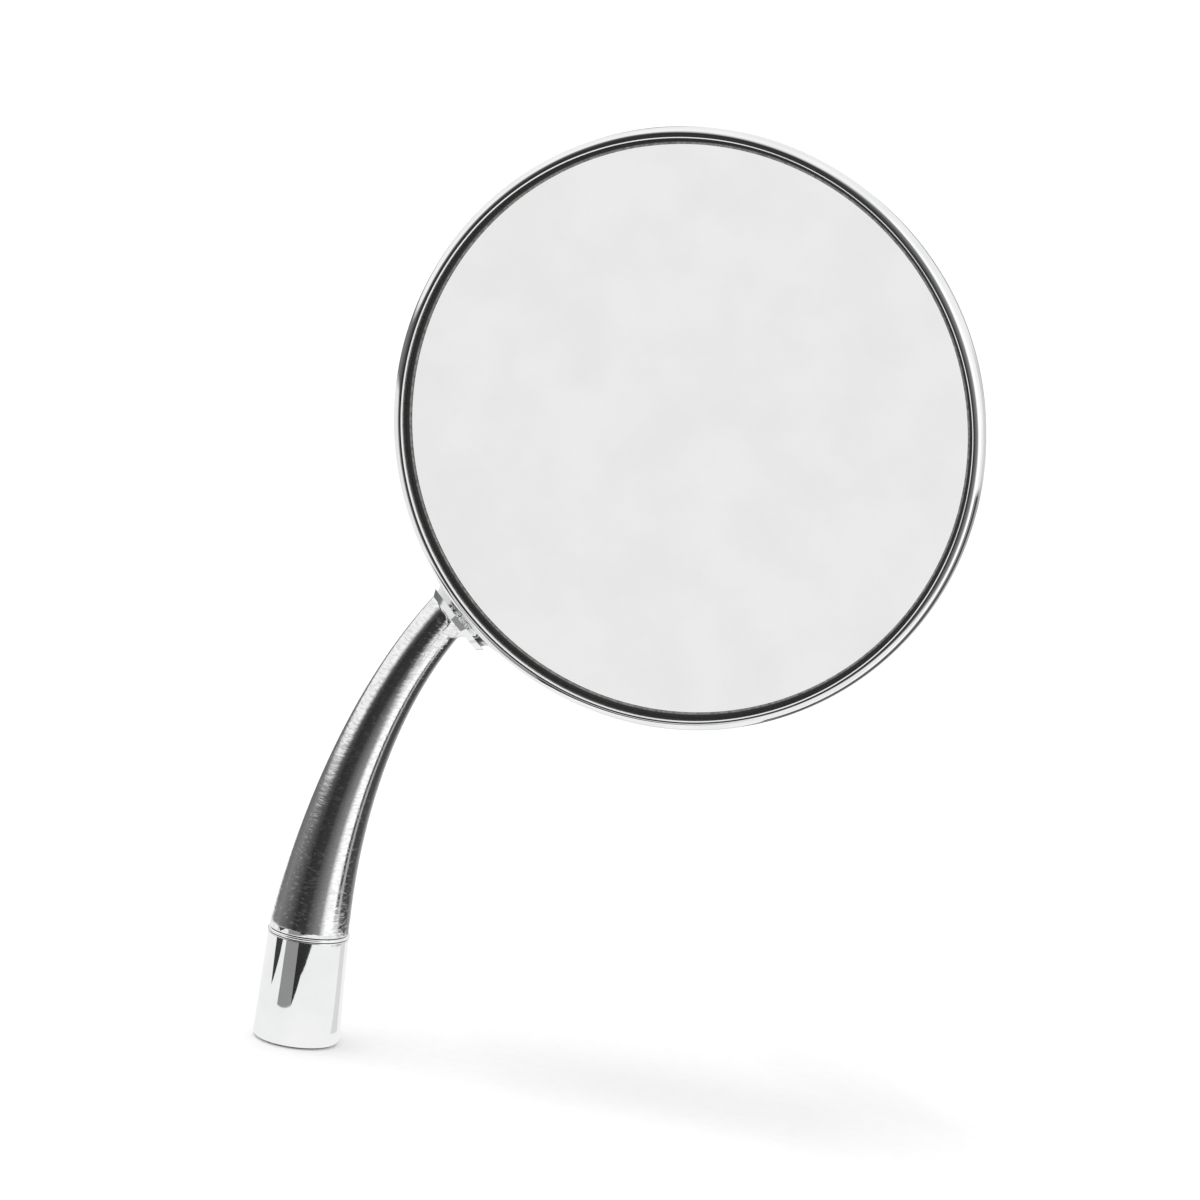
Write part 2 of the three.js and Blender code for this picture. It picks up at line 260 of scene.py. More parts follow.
def noise(nodes, links, scale, detail, stretch=None):
    """A noise node on the piece's own coordinates, stretched if asked."""
    where = nodes.new("ShaderNodeTexCoord")
    grain = nodes.new("ShaderNodeTexNoise")
    grain.inputs["Scale"].default_value = scale
    grain.inputs["Detail"].default_value = detail
    if stretch is None:
        links.new(where.outputs["Object"], grain.inputs["Vector"])
    else:
        mapping = nodes.new("ShaderNodeMapping")
        mapping.inputs["Scale"].default_value = stretch
        links.new(where.outputs["Object"], mapping.inputs["Vector"])
        links.new(mapping.outputs["Vector"], grain.inputs["Vector"])
    return grain


def ramp(nodes, links, source, stops):
    """A colour ramp; each stop is (position, grey or colour)."""
    band = nodes.new("ShaderNodeValToRGB")
    while len(band.color_ramp.elements) < len(stops):
        band.color_ramp.elements.new(0.5)
    for element, (place, colour) in zip(band.color_ramp.elements, stops):
        element.position = place
        shade = (colour,) * 3 if isinstance(colour, (int, float)) else colour
        element.color = (*shade, 1)
    links.new(source, band.inputs["Fac"])
    return band


def tone_and_gloss(nodes, links, shader, source, tones, glosses):
    """Lets one pattern set both the colour and the roughness."""
    tone = ramp(nodes, links, source, tones)
    gloss = ramp(nodes, links, source, glosses)
    links.new(tone.outputs["Color"], shader.inputs["Base Color"])
    links.new(gloss.outputs["Color"], shader.inputs["Roughness"])


def bump(nodes, links, shader, height, strength, distance=FINE_RELIEF):
    relief = nodes.new("ShaderNodeBump")
    relief.inputs["Strength"].default_value = strength
    relief.inputs["Distance"].default_value = distance
    links.new(height, relief.inputs["Height"])
    links.new(relief.outputs["Normal"], shader.inputs["Normal"])


def rolled_chrome():
    """Bright plating over rolled sheet: tiny changes of gloss and the faintest waviness."""
    material, nodes, links, shader = new_material("rolled_chrome")
    shader.inputs["Metallic"].default_value = 1.0
    haze = noise(nodes, links, 90, 4)
    tones = [(0.35, (0.86, 0.865, 0.87)), (0.7, (0.93, 0.93, 0.93))]
    tone_and_gloss(nodes, links, shader, haze.outputs["Fac"], tones, [(0.3, 0.03), (0.75, 0.07)])
    wave = noise(nodes, links, 260, 2)
    bump(nodes, links, shader, wave.outputs["Fac"], 0.05)
    return material


def cast_chrome():
    """Plating over a hand-polished casting: fine ripples and polishing marks across the arm."""
    material, nodes, links, shader = new_material("cast_chrome")
    shader.inputs["Metallic"].default_value = 1.0
    grain = noise(nodes, links, 2600, 5, stretch=(0.35, 0.35, 1.0))
    tones = [(0.35, (0.74, 0.745, 0.75)), (0.6, (0.92, 0.92, 0.92))]
    glosses = [(0.36, 0.22), (0.48, 0.1), (0.62, 0.05)]
    tone_and_gloss(nodes, links, shader, grain.outputs["Fac"], tones, glosses)
    ripple = noise(nodes, links, 900, 3, stretch=(0.35, 0.35, 1.5))
    bump(nodes, links, shader, ripple.outputs["Fac"], 0.22)
    return material


def mirror_silver():
    """Silvered glass: a clean reflection with the faintest cloudiness."""
    material, nodes, links, shader = new_material("mirror_silver")
    shader.inputs["Metallic"].default_value = 1.0
    cloud = noise(nodes, links, 85, 4)
    tones = [(0.35, 0.885), (0.65, 0.925)]
    tone_and_gloss(nodes, links, shader, cloud.outputs["Fac"], tones, [(0.3, 0.015), (0.7, 0.03)])
    return material


def moulded(name, dark, light, rough, grain=900):
    """Moulded rubber, nylon or foam with a fine grain."""
    material, nodes, links, shader = new_material(name)
    speck = noise(nodes, links, grain, 4)
    glosses = [(0.3, rough - 0.08), (0.7, rough + 0.08)]
    tone_and_gloss(nodes, links, shader, speck.outputs["Fac"], [(0.3, dark), (0.7, light)], glosses)
    bump(nodes, links, shader, speck.outputs["Fac"], 0.15)
    return material


def gasket_rubber_painted_shade():
    """The glass's gasket: grey with a fine speckle along its inner lip, and painted shade beside the
    rim, where it turns black for the shadow in the recess under the rim's lip.
    """
    material, nodes, links, shader = new_material("gasket_rubber_painted_shade")
    # painted shade: between these radii the gasket goes from its grey to black, for the shadow beside
    # the rim
    grey_until, painted_shade_from = 49.55 * MM, 49.75 * MM
    speck = noise(nodes, links, 1500, 4)
    grey_tones = [(0.3, (0.09, 0.088, 0.08)), (0.7, (0.27, 0.265, 0.25))]
    grey_speckle = ramp(nodes, links, speck.outputs["Fac"], grey_tones)
    where = nodes.new("ShaderNodeTexCoord")
    centred = nodes.new("ShaderNodeMapping")
    centred.inputs["Location"].default_value = (-head_centre.x, 0, -head_centre.z)
    centred.inputs["Scale"].default_value = (1, 0, 1)
    links.new(where.outputs["Object"], centred.inputs["Vector"])
    radius = nodes.new("ShaderNodeVectorMath")
    radius.operation = "LENGTH"
    links.new(centred.outputs["Vector"], radius.inputs[0])
    # painted shade mask: 0 along the inner lip, 1 beside the rim where shade falls under the rim's lip
    painted_shade_mask = nodes.new("ShaderNodeMapRange")
    painted_shade_mask.inputs["From Min"].default_value = grey_until
    painted_shade_mask.inputs["From Max"].default_value = painted_shade_from
    links.new(radius.outputs["Value"], painted_shade_mask.inputs["Value"])
    tone = nodes.new("ShaderNodeMix")
    tone.data_type = "RGBA"
    # painted shade: near black beside the rim
    tone.inputs["B"].default_value = (0.012, 0.012, 0.012, 1)
    links.new(painted_shade_mask.outputs["Result"], tone.inputs["Factor"])
    links.new(grey_speckle.outputs["Color"], tone.inputs["A"])
    links.new(tone.outputs["Result"], shader.inputs["Base Color"])
    gloss = ramp(nodes, links, speck.outputs["Fac"], [(0.3, 0.6), (0.7, 0.8)])
    links.new(gloss.outputs["Color"], shader.inputs["Roughness"])
    bump(nodes, links, shader, speck.outputs["Fac"], 0.15)
    return material


def turned_steel(name, dark, light):
    """Plain machined steel with fine tool marks."""
    material, nodes, links, shader = new_material(name)
    shader.inputs["Metallic"].default_value = 1.0
    marks = noise(nodes, links, 700, 3, stretch=(0.3, 0.3, 3.0))
    tones = [(0.3, dark), (0.7, light)]
    tone_and_gloss(nodes, links, shader, marks.outputs["Fac"], tones, [(0.3, 0.28), (0.7, 0.42)])
    bump(nodes, links, shader, marks.outputs["Fac"], 0.2, FINE_RELIEF / 2)
    return material


ROLLED = rolled_chrome()
CAST = cast_chrome()
SILVER = mirror_silver()
RUBBER = moulded("black_rubber", (0.012, 0.012, 0.012), (0.03, 0.03, 0.032), 0.6)
# the gasket's grey rubber, with painted shade beside the rim
GASKET_PAINTED_SHADE = gasket_rubber_painted_shade()
NYLON = moulded("pale_nylon", (0.72, 0.71, 0.67), (0.84, 0.83, 0.8), 0.45)
FOAM = moulded("grey_foam", (0.08, 0.08, 0.085), (0.2, 0.2, 0.21), 0.85, 500)
STEEL = turned_steel("plain_steel", (0.42, 0.43, 0.45), (0.62, 0.63, 0.65))
SPRING = turned_steel("spring_steel", (0.18, 0.185, 0.2), (0.34, 0.35, 0.37))


def finish_piece(piece, node, body, material):
    """A finished piece: its material, the CAD node it stands for and the body it rides on."""
    piece.data.materials.clear()
    piece.data.materials.append(material)
    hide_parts(node)
    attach(piece, body)


# ---- head ----

CREST_R = 50.7
RIM_R = 52.3
LIP_R = 50.3
RIM_BACK_Z = -3.9
SHELL_R = 51.3
SHELL_WALL = 0.8
RIM_BORE_R = SHELL_R + 0.15
SHELL_DOME_Z = -5.2
SHELL_DEPTH = 22.85
SHELL_POWER = 2.5
BOSS_R = 6.0
BOSS_BORE_R = 4.2
BOSS_LEAN = math.radians(16.3)
BOSS_Z = -11.45  # middle of the seam, behind the crest
SEAM_RADIUS = 56.8
SEAM_HALF = 0.3  # half the gap between boss and arm
TENON_HOLE_R = 2.2


def rim_ring():
    bead = RIM_R - CREST_R
    back_round = 0.9
    outline = [
        (LIP_R, -1.8),
        (LIP_R + 0.02, -1.68),
        *arc(CREST_R + 0.02, -0.24, 0.22, 174, 95, 7),
        *arc(CREST_R, -bead, bead, 90, 0, 16),
        (RIM_R, -1.9),
        *arc(RIM_R - back_round, RIM_BACK_Z + 0.75, back_round, 10, -55, 6),
        (RIM_BORE_R, RIM_BACK_Z + 0.02),
        (RIM_BORE_R, -2.2),
        (CREST_R, -0.85),
        (LIP_R + 0.14, -1.8),
    ]
    piece = turned("rim_ring_chromed", outline, HEAD, facets=256)
    smooth(piece, 40)
    finish_piece(piece, "rim_ring", "head", ROLLED)


GASKET_R = 50.35
GASKET_BORE_R = 49.85  # round the glass's edge
GASKET_LIP_R = 49.3
GASKET_BACK_LIP_R = 48.7
GASKET_FRONT_Z = -2.02
GASKET_BACK_Z = -4.8
GASKET_WALL = 0.35
GLASS_R = 49.7
GLASS_FRONT_Z = -2.3
GLASS_BACK_Z = -4.3


def gasket():
    """A channel round the glass: a thin rounded lip in front and a flat one behind."""
    outline = [
        (GASKET_LIP_R, GASKET_FRONT_Z - 0.1),
        (GASKET_LIP_R + 0.04, GASKET_FRONT_Z - 0.03),
        (GASKET_LIP_R + 0.15, GASKET_FRONT_Z),
        (GASKET_R, GASKET_FRONT_Z),
        (GASKET_R, GASKET_BACK_Z),
        (GASKET_BACK_LIP_R, GASKET_BACK_Z),
        (GASKET_BACK_LIP_R, GASKET_BACK_Z + GASKET_WALL),
        (GASKET_BORE_R, GASKET_BACK_Z + GASKET_WALL),
        (GASKET_BORE_R, GASKET_FRONT_Z - 0.13),
    ]
    piece = turned("glass_gasket_lip", outline, HEAD, facets=192)
    smooth(piece)
    finish_piece(piece, "glass_gasket", "head", GASKET_PAINTED_SHADE)


def glass():
    """A plain disc: its sharp edge lies inside the gasket's channel."""
    start_fresh()
    bpy.ops.mesh.primitive_cylinder_add(
        vertices=192, radius=GLASS_R * MM, depth=(GLASS_FRONT_Z - GLASS_BACK_Z) * MM,
        location=(0, 0, (GLASS_FRONT_Z + GLASS_BACK_Z) / 2 * MM), end_fill_type="NGON",
    )
    piece = take_up("mirror_glass_silvered")
    bpy.ops.object.transform_apply(location=True, rotation=True, scale=True)
    put(piece, HEAD)
    smooth(piece, 50)
    finish_piece(piece, "mirror_glass", "head", SILVER)


def dome_radius(z):
    """Radius of the back shell's outside at a height behind the crest, in millimetres."""
    if z > SHELL_DOME_Z:
        return SHELL_R
    deep = min((SHELL_DOME_Z - z) / SHELL_DEPTH, 1)
    return SHELL_R * (1 - deep ** SHELL_POWER) ** (1 / SHELL_POWER)


def dome_outline(steps):
    power = 2 / SHELL_POWER
    points = []
    for i in range(steps):
        angle = math.pi / 2 * i / steps
        points.append((
            SHELL_R * math.cos(angle) ** power,
            SHELL_DOME_Z - SHELL_DEPTH * math.sin(angle) ** power,
        ))
    return points + [(0, SHELL_DOME_Z - SHELL_DEPTH)]


def back_shell():
    opening_length, opening_middle = 24, -8.5
    outline = [(SHELL_R, -3.0), (SHELL_R, -4.2), *dome_outline(40)]
    piece = turned("back_shell_domed", outline, closed=False, facets=192)
    apply_modifier(piece, "SOLIDIFY", thickness=SHELL_WALL * MM, offset=-1)
    put(piece, HEAD)
    start_fresh()
    bpy.ops.mesh.primitive_cylinder_add(
        vertices=96, radius=(BOSS_BORE_R + 0.1) * MM, depth=opening_length * MM,
    )
    opening = take_up("shell_opening")
    put(opening, BOSS @ Matrix.Translation((0, 0, opening_middle * MM)))
    cut(piece, opening)
    smooth(piece, 40)
    finish_piece(piece, "back_shell", "head", ROLLED)


NECK_SIDES = 160
NECK_STEPS = 26
NECK_SIDE = 24.0  # how far the shoulder runs along the rim, from the middle of the seam
NECK_FRONT = 7.05
NECK_BEHIND = 10.5
CORNER_SHARE = 0.22  # of the neck's height, taken up by the small hollow at the seam
CORNER_WIDTH = 0.08  # of the neck's run
NECK_FULLNESS = 0.6  # how far the slope bulges over a straight one
NECK_SINK = 0.03  # how deep its foot goes into the shell
NECK_FIRST_STEP = 0.6  # the first ring stands a little off the seam's edge
NECK_WALL = 0.9


def neck_point(angle, step):
    """A point of the neck: from the edge of the seam's face at step 0 to the shell at step 1.

    It is worked out as a height over the shell, along a run that spreads from the seam.
    """
    forward, sideways = math.cos(angle), math.sin(angle)
    seam_z = BOSS_Z + BOSS_R * forward * math.cos(BOSS_LEAN) - SEAM_HALF * math.sin(BOSS_LEAN)
    seam_r = SEAM_RADIUS - BOSS_R * forward * math.sin(BOSS_LEAN) - SEAM_HALF * math.cos(BOSS_LEAN)
    turn_at_seam = math.atan2(BOSS_R * sideways, seam_r)
    height = math.hypot(seam_r, BOSS_R * sideways) - dome_radius(seam_z)
    foot_z = BOSS_Z + forward * (NECK_FRONT if forward > 0 else NECK_BEHIND)
    turn_at_foot = NECK_SIDE * sideways / SHELL_R
    run = step ** 2
    hollow = max(1 - run / CORNER_WIDTH, 0) ** 2
    slope = (1 - run) * (1 + NECK_FULLNESS * run)
    share = CORNER_SHARE * hollow + (1 - CORNER_SHARE) * slope
    z = seam_z + (foot_z - seam_z) * run
    turn = turn_at_seam + (turn_at_foot - turn_at_seam) * run
    radius = dome_radius(z) + height * share - NECK_SINK * run
    return NECK_TURN @ Vector((radius * math.cos(turn), radius * math.sin(turn), z)) * MM


def neck():
    """The boss drawn ring by ring from the tenon's hole, over its face, and down to the shell."""
    start_fresh()
    face = [(TENON_HOLE_R, 0.0), (BOSS_R - 0.15, 0.0), (BOSS_R - 0.04, -0.04)]
    rows = len(face) + NECK_STEPS + 1
    bpy.ops.mesh.primitive_circle_add(vertices=NECK_SIDES, radius=1, fill_type="NOTHING")
    piece = take_up("neck_boss_blended")
    bpy.ops.object.mode_set(mode="EDIT")
    for _ in range(rows - 1):
        bpy.ops.mesh.extrude_region_move(TRANSFORM_OT_translate={"value": (0, 0, 1)})
    bpy.ops.object.mode_set(mode="OBJECT")
    inwards = HEAD.inverted() @ BOSS
    for vertex in piece.data.vertices:
        row = round(vertex.co.z)
        angle = math.atan2(vertex.co.y, vertex.co.x)
        if row < len(face):
            radius, height = face[row]
            place = Vector((radius * math.cos(angle), radius * math.sin(angle), height - SEAM_HALF))
            vertex.co = inwards @ (place * MM)
        else:
            step = (row - len(face) + NECK_FIRST_STEP) / (NECK_STEPS + NECK_FIRST_STEP)
            vertex.co = neck_point(angle, step)
    tidy_mesh(piece, merge=1e-8)
    top = max(piece.data.polygons, key=lambda f: f.center.length)
    if top.normal.dot(top.center) < 0:
        piece.data.flip_normals()
    apply_modifier(piece, "SOLIDIFY", thickness=NECK_WALL * MM, offset=-1)
    put(piece, HEAD)
    smooth(piece, 40)
    finish_piece(piece, "neck_boss", "head", ROLLED)


# ---- arm ----

ARM_FOOT_R = 7.1
ARM_THIN_R = 4.0
ARM_TAPER = 1.8
SHOULDER_Z = 20.25
ARM_PATH = [(0, SHOULDER_Z), (1.1, 39.7), (5.9, 63.1), (18.1, 81.0)]
ARM_STEPS = 70
FLARE_LENGTH = 2.6
FLARE_STEPS = 40
FLARE_EARLY = 1.5  # the power by which the foot spreads on its low side
FLARE_LATE = 7.0  # and away from it
SPIGOT_R = 3.9
SPIGOT_END_Z = 11.3
GROOVE_R = 3.2
GROOVE_LOW_Z = 14.2
GROOVE_HIGH_Z = 15.8
GROOVE_SLOPE = 0.7
TENON_R = 2.0
TENON_LENGTH = 13.7
TENON_CHAMFER = 0.3


def path_point(t):
    (ax, az), (bx, bz), (cx, cz), (dx, dz) = ARM_PATH
    u = 1 - t
    weights = (u ** 3, 3 * u * u * t, 3 * u * t * t, t ** 3)
    return Vector((
        sum(w * x for w, x in zip(weights, (ax, bx, cx, dx))),
        0,
        sum(w * z for w, z in zip(weights, (az, bz, cz, dz))),
    )) * MM


class ArmPath:
    """The arm's centre line, measured along its length from 0 to 1."""

    def __init__(self, samples=600):
        self.points = [path_point(i / samples) for i in range(samples + 1)]
        self.reach = [0.0]
        for here, there in zip(self.points, self.points[1:]):
            self.reach.append(self.reach[-1] + (there - here).length)
        self.length = self.reach[-1]

    def at(self, share):
        goal = share * self.length
        i = next((k for k, reach in enumerate(self.reach) if reach >= goal), len(self.reach) - 1)
        i = max(i, 1)
        span = self.reach[i] - self.reach[i - 1]
        part = (goal - self.reach[i - 1]) / span
        return self.points[i - 1].lerp(self.points[i], part)

    def along(self, share):
        step = 0.004
        low, high = max(share - step, 0), min(share + step, 1)
        return (self.at(high) - self.at(low)).normalized()


def arm_rings():
    path = ArmPath()
    up = Vector((0, 0, 1))
    profile = [
        (SPIGOT_END_Z, SPIGOT_R - 0.4),
        (SPIGOT_END_Z + 0.4, SPIGOT_R),
        (GROOVE_LOW_Z - GROOVE_SLOPE, SPIGOT_R),
        (GROOVE_LOW_Z, GROOVE_R),
        (GROOVE_HIGH_Z, GROOVE_R),
        (GROOVE_HIGH_Z + GROOVE_SLOPE, SPIGOT_R),
        (SHOULDER_Z, SPIGOT_R),
        (SHOULDER_Z, ARM_FOOT_R - 0.2),
        (SHOULDER_Z + 0.04, ARM_FOOT_R - 0.08),
    ]
    rings = [(up * z * MM, up, radius * MM) for z, radius in profile]
    tube_start = 0.003
    flare_start = 1 - FLARE_LENGTH * MM / path.length
    for i in range(ARM_STEPS + 1):
        share = tube_start + (flare_start - tube_start) * i / ARM_STEPS
        radius = ARM_THIN_R + (ARM_FOOT_R - ARM_THIN_R) * (1 - share) ** ARM_TAPER
        axis = up if i == 0 else path.along(share)
        rings.append((path.at(share), axis, radius * MM))
    towards = -seam_axis
    face = seam_centre + seam_axis * SEAM_HALF * MM
    leaning = path.along(flare_start)
    foot = path.at(1)
    foot += towards * (face - foot).dot(towards)

    def flare_ring(step):
        """Part tube and part foot: the foot spreads early on its low side and late elsewhere."""
        share = flare_start + (1 - flare_start) * step
        axis = leaning.lerp(towards, step).normalized()
        tube = (path.at(share).lerp(foot, step), axis, ARM_THIN_R * MM)
        disc = (face, towards, BOSS_R * MM)
        low_side = (face - foot).normalized()

        def point(x, y):
            across = round_ring(disc, x, y) - face
            low = max(across.normalized().dot(low_side), 0)
            spread = step ** (FLARE_LATE + (FLARE_EARLY - FLARE_LATE) * low)
            return round_ring(tube, x, y).lerp(round_ring(disc, x, y), spread)

        return point

    rings += [flare_ring(i / FLARE_STEPS) for i in range(1, FLARE_STEPS + 1)]
    tenon = [
        (0, BOSS_R - 0.12),
        (0, TENON_R),
        (TENON_LENGTH - TENON_CHAMFER, TENON_R),
        (TENON_LENGTH, TENON_R - TENON_CHAMFER),
    ]
    for depth, radius in tenon:
        rings.append((face - seam_axis * depth * MM, towards, radius * MM))
    return rings


def arm():
    piece = sweep("arm_cast", arm_rings(), 144)
    smooth(piece, 30)
    finish_piece(piece, "arm", "arm", CAST)


# ---- base ----

SLEEVE_FOOT_R = 7.7
SLEEVE_FOOT_Z = 0.25
SLEEVE_TOP_R = 7.2
SLEEVE_TOP_Z = 19.45
SLEEVE_BORE_R = 6.65
BEAD_MIDDLE_R = 6.98
BEAD_BORE_R = 6.1
BEAD_Z = 19.85
BEAD_HALF = 0.3
SCREW_Z = 15.0
SCREW_Y = 4.95  # its middle
SCREW_R = 2.0
SCREW_LENGTH = 2.9
SCREW_CONE = 1.1
SCREW_ACCESS_R = 2.3
SCREW_ACCESS_LENGTH = 4
KEY_SOCKET_R = 1.15
KEY_SOCKET_Y = 6.5  # middle of the key, whose length reaches past the screw's end
KEY_LENGTH = 3


def bar_from_behind(name, sides, radius, length, middle_y):
    """A bar lying along y at the lock screw's height, in millimetres."""
    start_fresh()
    bpy.ops.mesh.primitive_cylinder_add(
        vertices=sides, radius=radius * MM, depth=length * MM,
        location=(0, middle_y * MM, SCREW_Z * MM), rotation=(math.radians(90), 0, 0),
    )
    return take_up(name)


def sleeve():
    foot_round, top_round = 1.0, 0.12
    outline = [
        (SLEEVE_BORE_R, SLEEVE_FOOT_Z),
        *arc(SLEEVE_FOOT_R - foot_round, SLEEVE_FOOT_Z + foot_round, foot_round, -88, 0, 12),
        (SLEEVE_FOOT_R - 0.04, 2.4),
        (SLEEVE_TOP_R, SLEEVE_TOP_Z - 0.2),
        *arc(SLEEVE_TOP_R - top_round, SLEEVE_TOP_Z - top_round, top_round, 0, 90, 3),
        (SLEEVE_BORE_R, SLEEVE_TOP_Z),
    ]
    piece = turned("base_sleeve_chromed", outline, facets=160)
    cut(piece, bar_from_behind("screw_access", 48, SCREW_ACCESS_R, SCREW_ACCESS_LENGTH, SLEEVE_TOP_R))
    smooth(piece, 40)
    finish_piece(piece, "base_sleeve", "base", ROLLED)


def bead():
    outline = [
        (BEAD_BORE_R, BEAD_Z - BEAD_HALF),
        *arc(BEAD_MIDDLE_R, BEAD_Z, BEAD_HALF, -90, 90, 12),
        (BEAD_BORE_R, BEAD_Z + BEAD_HALF),
    ]
    piece = turned("bead_ring_chromed", outline, facets=160)
    smooth(piece, 40)
    finish_piece(piece, "bead_ring", "base", ROLLED)


def lock_screw():
    """A grub screw: coned tip, bevelled end and a hexagonal key socket."""
    piece = bar_from_behind("lock_screw_socketed", 64, SCREW_R, SCREW_LENGTH, SCREW_Y)
    bpy.ops.object.transform_apply(location=True, rotation=True, scale=True)
    select_faces(piece, lambda face: face.normal.y < -0.9)
    bpy.ops.mesh.inset(thickness=SCREW_CONE * MM)
    bpy.ops.object.mode_set(mode="OBJECT")
    for vertex in piece.data.vertices:
        off_axis = math.hypot(vertex.co.x, vertex.co.z - SCREW_Z * MM)
        if vertex.co.y < SCREW_Y * MM and off_axis > SCREW_R / 2 * MM:
            vertex.co.y += SCREW_CONE * MM
    cut(piece, bar_from_behind("key_socket", 6, KEY_SOCKET_R, KEY_LENGTH, KEY_SOCKET_Y))
    apply_modifier(piece, "BEVEL", width=0.12 * MM, segments=2, limit_method="ANGLE", angle_limit=0.7)
    smooth(piece, 35)
    finish_piece(piece, "lock_screw", "lock", STEEL)


def seam_washer():
    half, edge_r = 0.15, 5.82
    outline = [
        (TENON_HOLE_R, -half),
        (edge_r, -half),
        *arc(edge_r - 0.02, 0, half * 0.98, -80, 80, 5),
        (edge_r, half),
        (TENON_HOLE_R, half),
    ]
    piece = turned("friction_washer_pressed", outline, BOSS, facets=128)
    smooth(piece, 40)
    finish_piece(piece, "friction_washer", "arm", NYLON)


rim_ring()
gasket()
glass()
back_shell()
neck()
arm()
seam_washer()
sleeve()
bead()
lock_screw()

# ---- CAD nodes that stay as they are ----

KEPT = {
    STEEL: ("base_core", "thrust_washer", "nut_washer", "joint_nut", "backing_plate"),
    SPRING: tuple(f"disc_spring_{i}" for i in (1, 2, 3, 4)),
    RUBBER: ("base_pad",),
    NYLON: ("swivel_washer",),
    FOAM: ("backing_pad",),
}
for material, names in KEPT.items():
    for name in names:
        node = frame["nodes"][name]
        node.data.materials.clear()
        node.data.materials.append(material)

# ---- studio ----


def emitter(name, colour, strength=1.0):
    material = bpy.data.materials.new(name)
    material.use_nodes = True
    nodes = material.node_tree.nodes
    nodes.clear()
    glow = nodes.new("ShaderNodeEmission")
    glow.inputs["Color"].default_value = (*colour, 1)
    glow.inputs["Strength"].default_value = strength
    out = nodes.new("ShaderNodeOutputMaterial")
    material.node_tree.links.new(glow.outputs["Emission"], out.inputs["Surface"])
    return material


def only_in_reflections(card):
    card.visible_camera = False
    card.visible_diffuse = False
    card.visible_shadow = False
    card.visible_transmission = False


GLASS_CARD_R = 53 * MM
GLASS_CARD_GAP = 36 * MM


def add_glass_card():
    """A round white card close before the glass, seen only in the glass and along the rim's crest."""
    start_fresh()
    bpy.ops.mesh.primitive_circle_add(vertices=96, radius=GLASS_CARD_R, fill_type="NGON")
    board = take_up("glass_card")
    way = Vector((-0.223, -0.963, -0.153))  # where the glass looks, as the camera sees it
    turn = head_facing.to_track_quat("Z", "Y").to_matrix().to_4x4()
    board.matrix_world = Matrix.Translation(head_centre + way * GLASS_CARD_GAP) @ turn
    board.data.materials.append(emitter("glass_card", (0.9, 0.9, 0.9)))
    only_in_reflections(board)


def add_floor():
    start_fresh()
    bpy.ops.mesh.primitive_plane_add(size=12, location=(0, 0, 0))
    floor = take_up("floor")
    material, nodes, links, shader = new_material("pale_paper")
    fibre = noise(nodes, links, 400, 3)
    tone = ramp(nodes, links, fibre.outputs["Fac"], [(0.3, 0.86), (0.7, 0.88)])
    links.new(tone.outputs["Color"], shader.inputs["Base Color"])
    shader.inputs["Roughness"].default_value = 0.9
    floor.data.materials.append(material)
    floor.visible_glossy = False


LIT_PAPER_R = 108 * MM
LIT_PAPER_MIDDLE = Vector((-18, -12, 0.4)) * MM
MARK_HEIGHT = 0.8  # over the floor, just above the lit paper
FERRULE_R = 7.45  # halfway up


def add_lit_paper():
    """The lit paper close round the base, as the chrome sees it."""
    start_fresh()
    bpy.ops.mesh.primitive_circle_add(
        vertices=96, radius=LIT_PAPER_R, fill_type="NGON", location=LIT_PAPER_MIDDLE,
    )
    near = take_up("lit_paper")
    near.data.materials.append(emitter("lit_paper", (0.96, 0.96, 0.96)))
    only_in_reflections(near)


def paper_mark(name, outline, shade):
    """A darker patch on the paper, seen only in the chrome.

    Each corner is given by where the ferrule shows it: degrees round from the side that faces the
    camera, and height in millimetres.
    """
    slope = math.tan(CAMERA_HEIGHT)
    corners = []
    for turn, height in outline:
        here = CAMERA_AZIMUTH + math.radians(turn)
        there = CAMERA_AZIMUTH + 2 * math.radians(turn)
        run = height / slope
        x = FERRULE_R * math.sin(here) + run * math.sin(there)
        y = -FERRULE_R * math.cos(here) - run * math.cos(there)
        corners.append(Vector((x, y, MARK_HEIGHT)) * MM)
    start_fresh()
    bpy.ops.mesh.primitive_circle_add(vertices=len(corners), radius=0.01, fill_type="NGON")
    mark = take_up(name)
    for vertex, place in zip(mark.data.vertices, corners):
        vertex.co = place
    mark.data.materials.append(emitter(name, (shade,) * 3))
    only_in_reflections(mark)


PAPER_MARKS = {
    "grey_block": ([(-31, 6.5), (-11, 7), (-11, 23), (-30, 23)], 0.3),
    "dark_block": ([(-11, 7), (-8, 8.5), (-3, 12), (6, 16), (12, 19.5), (14, 23), (-11, 23)], 0.03),
    "left_wedge": ([(-46, 9), (-35, 18), (-30, 23), (-52, 23), (-48.5, 17)], 0.05),
    "right_wedge": ([(56, 17), (63, 19), (66, 23), (44, 23), (48, 19)], 0.06),
    "right_band": ([(52, 2), (68, 2), (68, 17), (56, 17)], 0.75),
}


def maths(nodes, links, operation, *inputs):
    """A math node; each input is a number or another node's output."""
    node = nodes.new("ShaderNodeMath")
    node.operation = operation
    for socket, value in zip(node.inputs, inputs):
        if isinstance(value, (int, float)):
            socket.default_value = value
        else:
            links.new(value, socket)
    return node.outputs["Value"]


